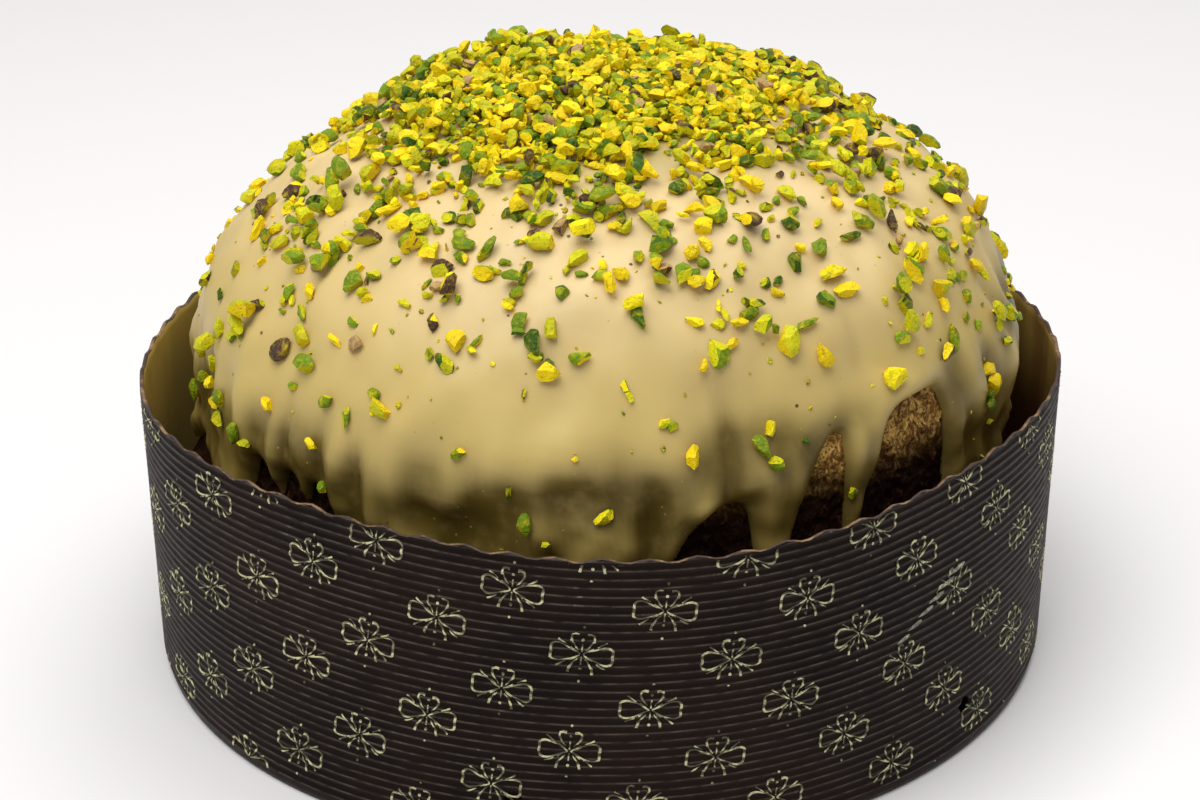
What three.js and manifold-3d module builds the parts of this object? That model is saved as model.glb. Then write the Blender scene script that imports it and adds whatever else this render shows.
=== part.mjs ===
// A low glazed panettone in its paper baking mould, in millimetres, +Z up.
// The origin is the centre of the mould's foot, on the surface that the mould stands on.
// Azimuth 0 is the front, -Y, and azimuth 90 is +X.
//
// Pieces: the paper wall with its turned-in foot, the paper base disc, the loaf, the pistachio
// glaze that ran down over it, and the largest of the chopped pistachios on the glaze.

import * as THREE from "three";
import Module from "manifold-3d";
import { ConvexGeometry } from "three/addons/geometries/ConvexGeometry.js";
import { mergeVertices } from "three/addons/utils/BufferGeometryUtils.js";

const wasm = await Module();
wasm.setup();

// ---- Driving dimensions ----

const GAP = 0.3; // left between pieces that touch

const MOULD_RADIUS = 105;
const MOULD_HEIGHT = 70;
const WALL = 1.0; // the fluted paper, measured over its flutes
const PAPER = 0.6; // the foot and the base disc, pressed flat
const FOOT_WIDTH = 10; // how far the wall is turned in under the base disc
const RIM_SCALLOPS = 72;
const SCALLOP_RISE = 0.5; // half the height from dip to crest of the wavy rim

const SKEWER_RADIUS = 2; // the loaf cools hanging upside down on two skewers
const SKEWER_HEIGHT = 12;
const SKEWER_AZIMUTH = 110;
const SKEWER_SPREAD = 60; // degrees from the skewers' own direction to each hole

const LOAF_RADIUS = 90.4; // where the dome is widest
const LOAF_WIDEST = 72;
const LOAF_TOP = 131.6;
const DOME_POWER = 2.17; // 2 is an ellipse, more is squarer at the shoulder
const LOAF_WALL_GAP = 0.6; // between the mould and the sides that baked against it
const SWELL_CORE = 62; // swells are seen from this height on the axis

const GLAZE = 2.6;
const GLAZE_GAP = 0.4;
const GLAZE_LIP = 0.8; // its thickness at the lower edge
const GLAZE_EDGE = 50; // mean height of the lower edge

const NUT_COUNT = 48;
const NUT_LENGTH = [2.3, 3.8]; // half lengths of the largest chopped pieces
const NUT_REACH = 84; // how far down the dome they lie, in degrees from the top

const AROUND = 96; // steps round the loaf and the glaze
const LOAF_RINGS = 19;
const GLAZE_RINGS = 13;
const WALL_STEPS = 2 * RIM_SCALLOPS;
const DISC_STEPS = 96;

// The crust's humps and hollows: where each is seen from the core, how wide it is, how far it rises.
const SWELLS = [
  { azimuth: 96, elevation: 12, spread: 22, rise: 4.2 },
  { azimuth: 122, elevation: 49, spread: 16, rise: 2.0 },
  { azimuth: 176, elevation: 66, spread: 10, rise: -2.2 },
  { azimuth: -146, elevation: 61, spread: 15, rise: 1.8 },
  { azimuth: -113, elevation: 40, spread: 16, rise: -2.6 },
  { azimuth: -44, elevation: 47, spread: 10, rise: -2.0 },
  { azimuth: -53, elevation: 29, spread: 10, rise: -1.8 },
  { azimuth: -76, elevation: 22, spread: 16, rise: 1.6 },
  { azimuth: -28, elevation: 14, spread: 15, rise: 1.4 },
  { azimuth: 2, elevation: 36, spread: 18, rise: 1.2 },
  { azimuth: 21, elevation: 20, spread: 10, rise: -1.4 },
  { azimuth: 40, elevation: 31, spread: 13, rise: 1.5 },
  { azimuth: 150, elevation: 24, spread: 18, rise: 2.0 },
  { azimuth: -168, elevation: 20, spread: 15, rise: -1.6 },
  { azimuth: -120, elevation: 8, spread: 16, rise: 1.6 },
];

// Where the glaze parted as it ran and left the crust bare, and how high each parting starts.
const PARTINGS = [
  { azimuth: 15.5, halfWidth: 6.5, top: 72 },
  { azimuth: 30.5, halfWidth: 5.5, top: 83 },
  { azimuth: 45.5, halfWidth: 9.5, top: 84.5 },
  { azimuth: 112, halfWidth: 6, top: 70 },
  { azimuth: 152, halfWidth: 10, top: 79 },
  { azimuth: -140, halfWidth: 7, top: 74 },
  { azimuth: -98, halfWidth: 6, top: 66 },
];

// ---- Helpers ----

const radians = THREE.MathUtils.degToRad;

// Seeded random numbers from 0 to 1, so that every run gives the same nuts.
function seeded(seed) {
  let state = seed;
  return () => {
    state = (state + 0x6d2b79f5) | 0;
    let t = Math.imul(state ^ (state >>> 15), 1 | state);
    t = (t + Math.imul(t ^ (t >>> 7), 61 | t)) ^ t;
    return ((t ^ (t >>> 14)) >>> 0) / 4294967296;
  };
}

function around(azimuth, radius, height) {
  const a = radians(azimuth);
  return new THREE.Vector3(radius * Math.sin(a), -radius * Math.cos(a), height);
}

function piece(name, geometry, color, roughness) {
  const material = new THREE.MeshStandardMaterial({ color, roughness, metalness: 0 });
  const mesh = new THREE.Mesh(geometry, material);
  mesh.name = name;
  return mesh;
}

// A closed skin through rings of points, from the point above the first ring to the point below the last.
function skin(first, rings, last) {
  const count = rings[0].length;
  const points = [first, ...rings.flat(), last];
  const faces = [];
  for (let k = 0; k < count; k++) {
    const next = (k + 1) % count;
    faces.push(0, 1 + k, 1 + next);
    for (let ring = 0; ring < rings.length - 1; ring++) {
      const upper = 1 + ring * count;
      const lower = upper + count;
      faces.push(upper + k, lower + k, lower + next);
      faces.push(upper + k, lower + next, upper + next);
    }
    const lowest = 1 + (rings.length - 1) * count;
    faces.push(points.length - 1, lowest + next, lowest + k);
  }
  const geometry = new THREE.BufferGeometry().setFromPoints(points);
  geometry.setIndex(faces);
  geometry.computeVertexNormals();
  return geometry;
}

function solid(geometry) {
  const bare = geometry.clone();
  bare.deleteAttribute("normal");
  bare.deleteAttribute("uv");
  const merged = mergeVertices(bare, 1e-3);
  return new wasm.Manifold(
    new wasm.Mesh({
      numProp: 3,
      vertProperties: merged.attributes.position.array,
      triVerts: new Uint32Array(merged.index.array),
    }),
  );
}

function geometryOf(manifold) {
  const mesh = manifold.getMesh();
  const geometry = new THREE.BufferGeometry();
  geometry.setAttribute("position", new THREE.BufferAttribute(mesh.vertProperties, 3));
  geometry.setIndex(new THREE.BufferAttribute(mesh.triVerts, 1));
  geometry.computeVertexNormals();
  return geometry;
}

// ---- Paper mould ----

// The wall's section runs round the foot, up the outside, over the rim and down the inside.
function wallGeometry() {
  const inside = MOULD_RADIUS - WALL;
  const foot = MOULD_RADIUS - FOOT_WIDTH;
  const section = [
    [foot, 0],
    [MOULD_RADIUS - WALL, 0],
    [MOULD_RADIUS, WALL],
    [MOULD_RADIUS, MOULD_HEIGHT],
    [inside, MOULD_HEIGHT],
    [inside, PAPER],
    [foot, PAPER],
    [foot, 0],
  ].map(([radius, height]) => new THREE.Vector2(radius, height));
  const geometry = new THREE.LatheGeometry(section, WALL_STEPS).rotateX(Math.PI / 2);
  const place = geometry.attributes.position;
  for (let i = 0; i < place.count; i++) {
    if (place.getZ(i) > MOULD_HEIGHT - WALL) {
      const turn = Math.atan2(place.getY(i), place.getX(i));
      place.setZ(i, MOULD_HEIGHT + SCALLOP_RISE * Math.cos(RIM_SCALLOPS * turn));
    }
  }
  return geometry;
}

function skewerHole(azimuth) {
  const hole = new THREE.CylinderGeometry(SKEWER_RADIUS, SKEWER_RADIUS, 6 * WALL, 12);
  const centre = around(azimuth, MOULD_RADIUS - WALL / 2, SKEWER_HEIGHT);
  hole.rotateZ(radians(azimuth));
  hole.translate(centre.x, centre.y, centre.z);
  return solid(hole);
}

function piercedWall() {
  let wall = solid(wallGeometry());
  for (const end of [SKEWER_AZIMUTH, SKEWER_AZIMUTH + 180]) {
    for (const side of [-SKEWER_SPREAD, SKEWER_SPREAD]) {
      wall = wall.subtract(skewerHole(end + side));
    }
  }
  return geometryOf(wall);
}

const BASE_BOTTOM = PAPER + GAP;
const BASE_TOP = BASE_BOTTOM + PAPER;

function baseGeometry() {
  const radius = MOULD_RADIUS - WALL - LOAF_WALL_GAP;
  const disc = new THREE.CylinderGeometry(radius, radius, PAPER, DISC_STEPS);
  return disc.rotateX(Math.PI / 2).translate(0, 0, (BASE_BOTTOM + BASE_TOP) / 2);
}

// ---- Loaf ----

const LOAF_BOTTOM = BASE_TOP + GAP;

// Half the loaf's upright section, from the top of the dome down to the edge of its flat bottom.
function loafOutline() {
  const points = [];
  const steps = 12;
  for (let i = 0; i <= steps; i++) {
    const a = (Math.PI / 2) * (1 - i / steps);
    const across = Math.max(Math.cos(a), 0) ** (2 / DOME_POWER);
    const up = Math.sin(a) ** (2 / DOME_POWER);
    const height = LOAF_WIDEST + (LOAF_TOP - LOAF_WIDEST) * up;
    points.push(new THREE.Vector2(i === 0 ? 0 : LOAF_RADIUS * across, height));
  }
  const side = MOULD_RADIUS - WALL - LOAF_WALL_GAP;
  points.push(
    new THREE.Vector2(LOAF_RADIUS - 1.6, 61), // the waist, where the dome left the paper
    new THREE.Vector2(LOAF_RADIUS + 0.8, 51),
    new THREE.Vector2(side - 6, 41),
    new THREE.Vector2(side - 0.8, 30),
    new THREE.Vector2(side, 20),
    new THREE.Vector2(side, 8),
    new THREE.Vector2(side - 1.5, LOAF_BOTTOM + 1.6),
    new THREE.Vector2(side - 5, LOAF_BOTTOM),
  );
  return new THREE.SplineCurve(points);
}

const outline = loafOutline();

const swellCentres = SWELLS.map(({ azimuth, elevation, spread, rise }) => ({
  toward: around(azimuth, Math.cos(radians(elevation)), Math.sin(radians(elevation))),
  spread: radians(spread),
  rise,
}));

function swellAt(toward) {
  let rise = 0;
  for (const swell of swellCentres) {
    const off = toward.angleTo(swell.toward) / swell.spread;
    rise += swell.rise * Math.exp(-off * off);
  }
  return rise;
}

// A point that far out from the loaf's surface. Share 0 is the top of the dome, and 1 the bottom edge.
function surfacePoint(azimuth, share, out = 0) {
  const at = outline.getPointAt(share);
  const along = outline.getTangentAt(share);
  const core = new THREE.Vector3(0, 0, SWELL_CORE);
  const toward = around(azimuth, at.x, at.y).sub(core).normalize();
  const free = THREE.MathUtils.smoothstep(at.y, GLAZE_EDGE - 8, GLAZE_EDGE + 14);
  const radius = Math.max(at.x - along.y * out, 0);
  const point = around(azimuth, radius, at.y + along.x * out);
  return point.addScaledVector(toward, swellAt(toward) * free);
}

const azimuths = Array.from({ length: AROUND }, (_, k) => (360 * k) / AROUND);

function loafGeometry(out = 0) {
  const rings = [];
  for (let ring = 1; ring <= LOAF_RINGS; ring++) {
    rings.push(azimuths.map((azimuth) => surfacePoint(azimuth, ring / LOAF_RINGS, out)));
  }
  return skin(surfacePoint(0, 0, out), rings, new THREE.Vector3(0, 0, LOAF_BOTTOM - out));
}

// ---- Glaze ----

// The height of the glaze's lower edge: slow runs of different reach, broken by the partings.
function edgeHeight(azimuth) {
  const a = radians(azimuth);
  let height = GLAZE_EDGE + 3.2 * Math.sin(9 * a + 0.6) + 2.4 * Math.sin(14 * a + 2.1);
  for (const parting of PARTINGS) {
    const off = ((azimuth - parting.azimuth + 540) % 360) - 180;
    const arch = parting.top - (parting.top - GLAZE_EDGE) * Math.abs(off / parting.halfWidth) ** 3;
    height = Math.max(height, Math.min(arch, parting.top));
  }
  return height;
}

// How far down the outline a height lies, by halving.
function shareAt(height) {
  let upper = 0;
  let lower = 1;
  for (let i = 0; i < 30; i++) {
    const middle = (upper + lower) / 2;
    if (outline.getPointAt(middle).y > height) upper = middle;
    else lower = middle;
  }
  return lower;
}

const edgeShares = azimuths.map((azimuth) => shareAt(edgeHeight(azimuth)));

// A cap with the glaze's outer surface, hollowed by the loaf grown a little all over.
function glazeGeometry() {
  const rings = [];
  for (let ring = 1; ring <= GLAZE_RINGS; ring++) {
    const out = GLAZE_GAP + (ring === GLAZE_RINGS ? GLAZE_LIP : GLAZE);
    const part = ring / GLAZE_RINGS;
    rings.push(azimuths.map((azimuth, k) => surfacePoint(azimuth, part * edgeShares[k], out)));
  }
  rings.push(azimuths.map((azimuth, k) => surfacePoint(azimuth, edgeShares[k], -2 * GLAZE)));
  const top = surfacePoint(0, 0, GLAZE_GAP + GLAZE);
  const cap = solid(skin(top, rings, new THREE.Vector3(0, 0, SWELL_CORE)));
  return geometryOf(cap.subtract(solid(loafGeometry(GLAZE_GAP))));
}

// ---- Chopped pistachios ----

const NUT_COLORS = [0xc9c22a, 0x9fb524, 0x5f9a26, 0x2f6a22, 0x5b3a3c];

// An angular chip: the hull of points spread over a flattened ellipsoid, standing on its lowest point.
function nutGeometry(random) {
  const half = THREE.MathUtils.lerp(...NUT_LENGTH, random());
  const wide = half * (0.5 + 0.25 * random());
  const tall = half * (0.36 + 0.2 * random());
  const points = [];
  const corners = 13;
  for (let i = 0; i < corners; i++) {
    const up = 1 - (2 * (i + 0.5)) / corners;
    const level = Math.sqrt(1 - up * up);
    const turn = i * 2.4 + 0.9 * random();
    const reach = 0.8 + 0.2 * random();
    points.push(
      new THREE.Vector3(
        half * reach * level * Math.cos(turn),
        wide * reach * level * Math.sin(turn),
        tall * up * reach,
      ),
    );
  }
  const geometry = new ConvexGeometry(points);
  geometry.computeBoundingBox();
  return geometry.translate(0, 0, -geometry.boundingBox.min.z);
}

// The nuts lie on a sunflower spiral over the dome, closer together towards the top.
function nutPlaces(random) {
  const places = [];
  const golden = 137.508;
  for (let i = 0; i < NUT_COUNT; i++) {
    const drop = NUT_REACH * ((i + 0.6) / NUT_COUNT) ** 0.62 + 4 * (random() - 0.5);
    const azimuth = golden * i + 16 * (random() - 0.5);
    const spin = 2 * Math.PI * random();
    places.push({ drop, azimuth, spin });
  }
  return places;
}

// Lifts a nut off the surface that it lies on until no corner of it is in the solid.
function settle(nut, normal, ground) {
  const step = 0.1;
  let common = 1;
  while (common > 0) {
    nut.position.addScaledVector(normal, step);
    nut.updateMatrix();
    common = solid(nut.geometry.clone().applyMatrix4(nut.matrix)).intersect(ground).volume();
  }
  nut.position.addScaledVector(normal, GAP - step);
}

function nuts(glaze) {
  const random = seeded(7);
  const core = new THREE.Vector3(0, 0, SWELL_CORE);
  const caster = new THREE.Raycaster();
  const ground = solid(glaze.geometry);
  return nutPlaces(random).map(({ drop, azimuth, spin }, i) => {
    const rise = radians(90 - drop);
    const outward = around(azimuth, Math.cos(rise), Math.sin(rise));
    caster.set(core.clone().addScaledVector(outward, 2 * MOULD_RADIUS), outward.clone().negate());
    const hit = caster.intersectObject(glaze)[0];
    const nut = piece(
      `pistachio_${String(i + 1).padStart(2, "0")}`,
      nutGeometry(random),
      NUT_COLORS[Math.floor(random() * NUT_COLORS.length)],
      0.5,
    );
    nut.quaternion.setFromUnitVectors(new THREE.Vector3(0, 0, 1), hit.face.normal);
    nut.rotateZ(spin);
    nut.position.copy(hit.point);
    settle(nut, hit.face.normal, ground);
    return nut;
  });
}

// ---- The panettone ----

const wall = piece("mould_wall", piercedWall(), 0x33241f, 0.55);
const base = piece("mould_base", baseGeometry(), 0x4a3326, 0.7);
const loaf = piece("loaf", loafGeometry(), 0x7a4a22, 0.8);
const glaze = piece("glaze", glazeGeometry(), 0xc9b27c, 0.35);

const mould = new THREE.Group();
mould.add(wall, base);

const panettone = new THREE.Group();
panettone.add(mould, loaf, glaze, ...nuts(glaze));

export default panettone;
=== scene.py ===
"""The looks of a glazed panettone in its fluted paper mould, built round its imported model.

Sizes are in metres. The origin is under the middle of the mould, +Z is up, azimuth 0 is the
front, -Y, and azimuth 90 is +X.
"""

import itertools
import math
import random
from contextlib import contextmanager

import bpy
import numpy as np
from mathutils import Matrix, Vector, noise
from mathutils.bvhtree import BVHTree
from mathutils.kdtree import KDTree


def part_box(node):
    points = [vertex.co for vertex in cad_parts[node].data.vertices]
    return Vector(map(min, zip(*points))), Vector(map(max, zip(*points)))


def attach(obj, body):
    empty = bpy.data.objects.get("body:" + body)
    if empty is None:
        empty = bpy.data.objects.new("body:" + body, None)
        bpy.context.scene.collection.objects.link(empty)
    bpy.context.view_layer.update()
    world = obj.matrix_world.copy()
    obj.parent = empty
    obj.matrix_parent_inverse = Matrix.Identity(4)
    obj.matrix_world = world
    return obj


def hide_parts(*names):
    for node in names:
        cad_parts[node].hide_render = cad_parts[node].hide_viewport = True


bl_info = {
    "name": "Glazed Panettone",
    "version": (1, 0, 0),
    "blender": (4, 5, 0),
    "location": "View3D > Sidebar > Panettone",
    "description": "A glazed panettone with chopped pistachios in its fluted paper mould",
    "category": "Add Mesh",
}

BODY = "root"
MM = 0.001

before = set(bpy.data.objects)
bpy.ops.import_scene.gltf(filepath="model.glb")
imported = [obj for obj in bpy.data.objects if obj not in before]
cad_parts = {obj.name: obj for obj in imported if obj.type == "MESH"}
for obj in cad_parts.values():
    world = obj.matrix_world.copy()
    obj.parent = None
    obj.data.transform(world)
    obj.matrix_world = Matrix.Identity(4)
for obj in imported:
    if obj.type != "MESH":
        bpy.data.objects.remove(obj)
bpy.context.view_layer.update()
CAD_NUTS = sorted(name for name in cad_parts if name.startswith("pistachio_"))

WALL_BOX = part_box("mould_wall")
BASE_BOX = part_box("mould_base")
MOULD_RADIUS = WALL_BOX[1].x
SCALLOP_RISE = 0.5 * MM
MOULD_HEIGHT = WALL_BOX[1].z - SCALLOP_RISE
FLUTE_ROWS = 5  # rows of faces over one flute
INK_DEPTH = 0.16 * MM
DOME_MM = 92  # the loaf's widest ring, in millimetres
DOME_RADIUS = DOME_MM * MM
CORE = Vector((0, 0, 62 * MM))  # the dome's parts are seen from this point on the axis
EDGE_BELOW, EDGE_ABOVE = 35 * MM, 100 * MM  # the glaze's lower edge lies between these heights
FAR = 15 * MM  # stands for the distance of places that are well away from that edge
SAME_SPOT = 1e-6


# ---- Sizes and colours ----


def length(name, description, default):
    return bpy.props.FloatProperty(
        name=name, description=description, default=default, subtype="DISTANCE", unit="LENGTH"
    )


def count(name, description, default):
    return bpy.props.IntProperty(name=name, description=description, default=default, min=1)


def color(name, description, default):
    return bpy.props.FloatVectorProperty(
        name=name, description=description, default=default, subtype="COLOR", size=3, min=0, max=1
    )


class MouldSettings(bpy.types.PropertyGroup):
    """The fluted paper mould"""

    thickness: length("Wall", "Thickness of the wall over its flutes", 1.0 * MM)
    flute_pitch: length("Flute pitch", "From one flute to the next", 2.03 * MM)
    flute_depth: length("Flute depth", "From a flute's crest to its valley", 0.42 * MM)
    foot_width: length("Foot", "How far the wall is turned in underneath", 10 * MM)
    steps: count("Steps", "Steps round the wall", 360)
    scallops: count("Scallops", "Waves of the cut rim", 72)
    lap_width: length("Overlap", "Width of the glued overlap at the back", 16 * MM)
    outside: color("Outside", "Dark face of the paper", (0.0070, 0.0034, 0.0023))
    # Painted highlight: the lighter colour along the crests of the flutes, where the light catches
    # them.
    outside_crest_highlight: color("Worn outside", "Rubbed crests of the flutes", (0.082, 0.062, 0.049))
    inside: color("Inside", "Face of the paper towards the loaf", (0.26, 0.145, 0.036))
    cut: color("Cut edge", "Bare paper along the rim", (0.30, 0.19, 0.09))


class PrintSettings(bpy.types.PropertyGroup):
    """The flowers printed on the mould"""

    column_pitch: length("Column pitch", "From flower to flower along a row", 30 * MM)
    row_pitch: length("Row pitch", "From row to row, each shifted by half a column", 11.85 * MM)
    tilt: length("Tilt", "How far the rows rise and fall round the wall", 19.4 * MM)
    flower_width: length("Flower width", "Over both side petals", 13.2 * MM)
    line: length("Line", "Width of a printed line", 0.39 * MM)
    ink: color("Ink", "Pale gold ink", (0.60, 0.58, 0.33))


class LoafSettings(bpy.types.PropertyGroup):
    """The crust"""

    wrinkle: length("Wrinkles", "Depth of the crust's wrinkles", 0.9 * MM)
    pore: length("Pores", "Depth of the crust's pores", 0.45 * MM)
    light: color("Light crust", "Raised fibres of the crust", (0.88, 0.55, 0.15))
    # Partly painted shade: this dark fills the crust's pores and hollows, along with its baked
    # colour.
    dark: color("Dark crust", "Baked hollows of the crust", (0.10, 0.038, 0.007))


class GlazeSettings(bpy.types.PropertyGroup):
    """The pistachio glaze"""

    thickness: length("Thickness", "Mean thickness of the glaze", 2.8 * MM)
    lip: length("Lip", "Width over which the edge is rounded", 3.2 * MM)
    edge: length("Edge", "Mean height of the lower edge", 50 * MM)
    # Painted light and shade: the glaze is painted lighter on top and darker down the sides and near
    # the lower edge.
    light: color("Light glaze", "Where the glaze lies on top", (0.70, 0.53, 0.265))
    deep: color("Deep glaze", "Half way down the sides", (0.56, 0.42, 0.145))
    low: color("Low glaze", "Near the lower edge", (0.44, 0.33, 0.095))
    # Painted shade: this colour darkens the glaze's hollows and its low side by the mould wall.
    shadowed: color("Thin glaze", "In the hollows, where the crust shows through", (0.105, 0.072, 0.011))


class NutSettings(bpy.types.PropertyGroup):
    """The chopped pistachios"""

    amount: count("Amount", "Chips scattered over the glaze", 3600)
    crumbs: count("Crumbs", "Tiny crumbs between the chips", 380)
    seed: count("Seed", "Changes how the chips fall", 11)
    yellow: color("Yellow", "Ripe flesh", (1.0, 0.72, 0.003))
    lime: color("Lime", "Yellow-green flesh", (0.60, 0.58, 0.004))
    green: color("Green", "Green flesh", (0.17, 0.28, 0.004))
    dark: color("Dark green", "Outside of a green kernel", (0.022, 0.090, 0.001))
    skin: color("Skin", "Purple-brown skin", (0.060, 0.022, 0.018))
    pale: color("Pale", "Dried skin", (0.42, 0.25, 0.13))


class StageSettings(bpy.types.PropertyGroup):
    """The floor, the lights and the camera"""

    distance: length("Camera distance", "From the camera to its aim", 0.6271)
    aim_height: length("Aim", "Height that the camera looks at", 0.0544)
    elevation: bpy.props.FloatProperty(
        name="Elevation",
        description="How far the camera looks down",
        default=math.radians(25.18),
        subtype="ANGLE",
        unit="ROTATION",
    )
    lens: bpy.props.FloatProperty(
        name="Lens", description="Focal length in millimetres", default=80.17
    )
    floor: color("Floor", "Plain pale floor", (0.80, 0.785, 0.785))


SETTINGS = {
    "panettone_mould": MouldSettings,
    "panettone_print": PrintSettings,
    "panettone_loaf": LoafSettings,
    "panettone_glaze": GlazeSettings,
    "panettone_nuts": NutSettings,
    "panettone_stage": StageSettings,
}


# ---- Modelling helpers ----


def around(azimuth, radius, height):
    """The point at an azimuth in degrees, a distance from the axis and a height."""
    a = math.radians(azimuth)
    return Vector((radius * math.sin(a), -radius * math.cos(a), height))


def turned(turn, radius, height):
    """The places at arrays of turns round the axis in radians, distances from it and heights."""
    return np.stack([radius * np.sin(turn), -radius * np.cos(turn), height], 1)


def turns(spots):
    """How far round the axis each place lies from the front, in radians."""
    return np.arctan2(spots[:, 0], -spots[:, 1])


def reaches(spots):
    """How far each place lies from the axis."""
    return np.hypot(spots[:, 0], spots[:, 1])


def unit(vectors):
    return vectors / np.linalg.norm(vectors, axis=1)[:, None]


def rows(elements, key):
    """A vector of each vertex or face, such as its place, as an array of three columns."""
    flat = np.empty(3 * len(elements), np.float32)
    elements.foreach_get(key, flat)
    return flat.reshape(-1, 3).astype(float)


def places(piece):
    return rows(piece.data.vertices, "co")


def centres(piece):
    return rows(piece.data.polygons, "center")


def normals(piece):
    return rows(piece.data.polygons, "normal")


def set_places(piece, array):
    piece.data.vertices.foreach_set("co", np.asarray(array, np.float32).ravel())
    piece.data.update()


def object_mode():
    if bpy.context.object and bpy.context.object.mode != "OBJECT":
        bpy.ops.object.mode_set(mode="OBJECT")


def deselect_all():
    object_mode()
    bpy.ops.object.select_all(action="DESELECT")


def activate(piece):
    deselect_all()
    piece.select_set(True)
    bpy.context.view_layer.objects.active = piece


def named(name):
    """Names the object that an operator has just added."""
    piece = bpy.context.object
    piece.name = name
    piece.data.name = name
    return piece


@contextmanager
def editing(piece, mode="VERT", chosen=None):
    """Edit mode with everything selected, or only the faces or vertices that an array picks."""
    activate(piece)
    bpy.ops.object.mode_set(mode="EDIT")
    bpy.ops.mesh.select_mode(type=mode)
    bpy.ops.mesh.select_all(action="SELECT" if chosen is None else "DESELECT")
    if chosen is not None:
        object_mode()
        elements = piece.data.polygons if mode == "FACE" else piece.data.vertices
        elements.foreach_set("select", np.asarray(chosen, bool))
        bpy.ops.object.mode_set(mode="EDIT")
    yield
    object_mode()


def face_outwards(piece):
    with editing(piece):
        bpy.ops.mesh.normals_make_consistent(inside=False)


def modify(piece, kind, **values):
    """Adds a modifier and applies it."""
    activate(piece)
    modifier = piece.modifiers.new(kind.title(), kind)
    for key, value in values.items():
        setattr(modifier, key, value)
    bpy.ops.object.modifier_apply(modifier=modifier.name)


def copy_of_node(node, name):
    """A copy of a CAD node's shape, its loose triangles joined up."""
    piece = bpy.data.objects.new(name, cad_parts[node].data.copy())
    piece.data.name = name
    piece.data.materials.clear()
    bpy.context.scene.collection.objects.link(piece)
    with editing(piece):
        bpy.ops.mesh.remove_doubles(threshold=SAME_SPOT)
        bpy.ops.mesh.customdata_custom_splitnormals_clear()
    return piece


def placed_copy(master, matrix):
    """A copy of a piece with its own mesh, moved there by the matrix."""
    copy = master.copy()
    copy.data = master.data.copy()
    copy.data.transform(matrix)
    bpy.context.scene.collection.objects.link(copy)
    return copy


def joined(pieces, name):
    deselect_all()
    for piece in pieces:
        piece.select_set(True)
    bpy.context.view_layer.objects.active = pieces[0]
    bpy.ops.object.join()
    return named(name)


def coated(piece, *materials):
    piece.data.materials.clear()
    for material in materials:
        piece.data.materials.append(material)


def finished(piece, slot, *replaced, angle=None):
    """Shades a piece, hangs it on the body and hides the imported parts that it replaces."""
    activate(piece)
    bpy.ops.object.transform_apply(location=True, rotation=True, scale=True)
    if angle is None:
        bpy.ops.object.shade_smooth()
    else:
        bpy.ops.object.shade_smooth_by_angle(angle=math.radians(angle))
    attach(piece, BODY)
    if replaced:
        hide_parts(*replaced)


def weigh(piece, name, weights):
    """A vertex group with one weight for each vertex."""
    group = piece.vertex_groups.new(name=name)
    for index, weight in enumerate(np.clip(weights, 0, 1)):
        group.add([index], float(weight), "REPLACE")


# ---- Material helpers ----


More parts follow.
